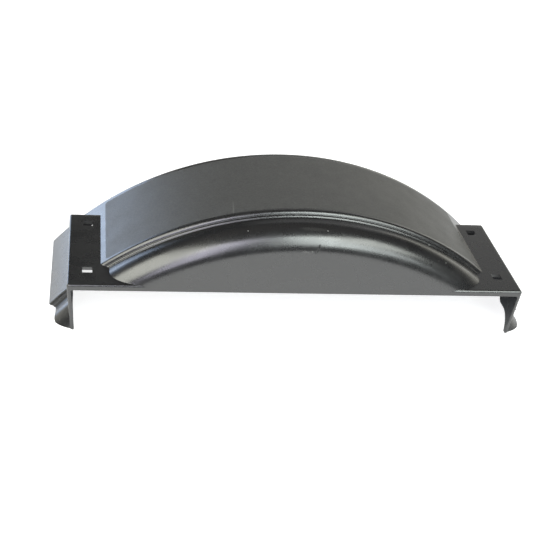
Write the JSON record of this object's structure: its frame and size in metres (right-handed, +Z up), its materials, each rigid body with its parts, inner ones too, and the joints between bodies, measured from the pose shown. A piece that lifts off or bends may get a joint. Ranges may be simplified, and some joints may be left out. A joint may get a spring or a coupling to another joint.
{
  "type": "trailer wheel fender",
  "caption": "Arched plastic wheel fender with a rounded front shoulder, a stepped tread edge and a flat bolt-down bracket at each end.",
  "frame": {"origin": "on the ground plane, under the middle of the fender's length and depth", "axes": "+X along the fender, +Y from the shouldered front to the back lip, +Z up"},
  "size_m": [0.635, 0.21, 0.1535],
  "materials": {
    "thermoformed_abs": "satin black, grained on the tread"
  },
  "bodies": {
    "root": {"fender_shell": "thermoformed_abs"}
  },
  "joints": []
}
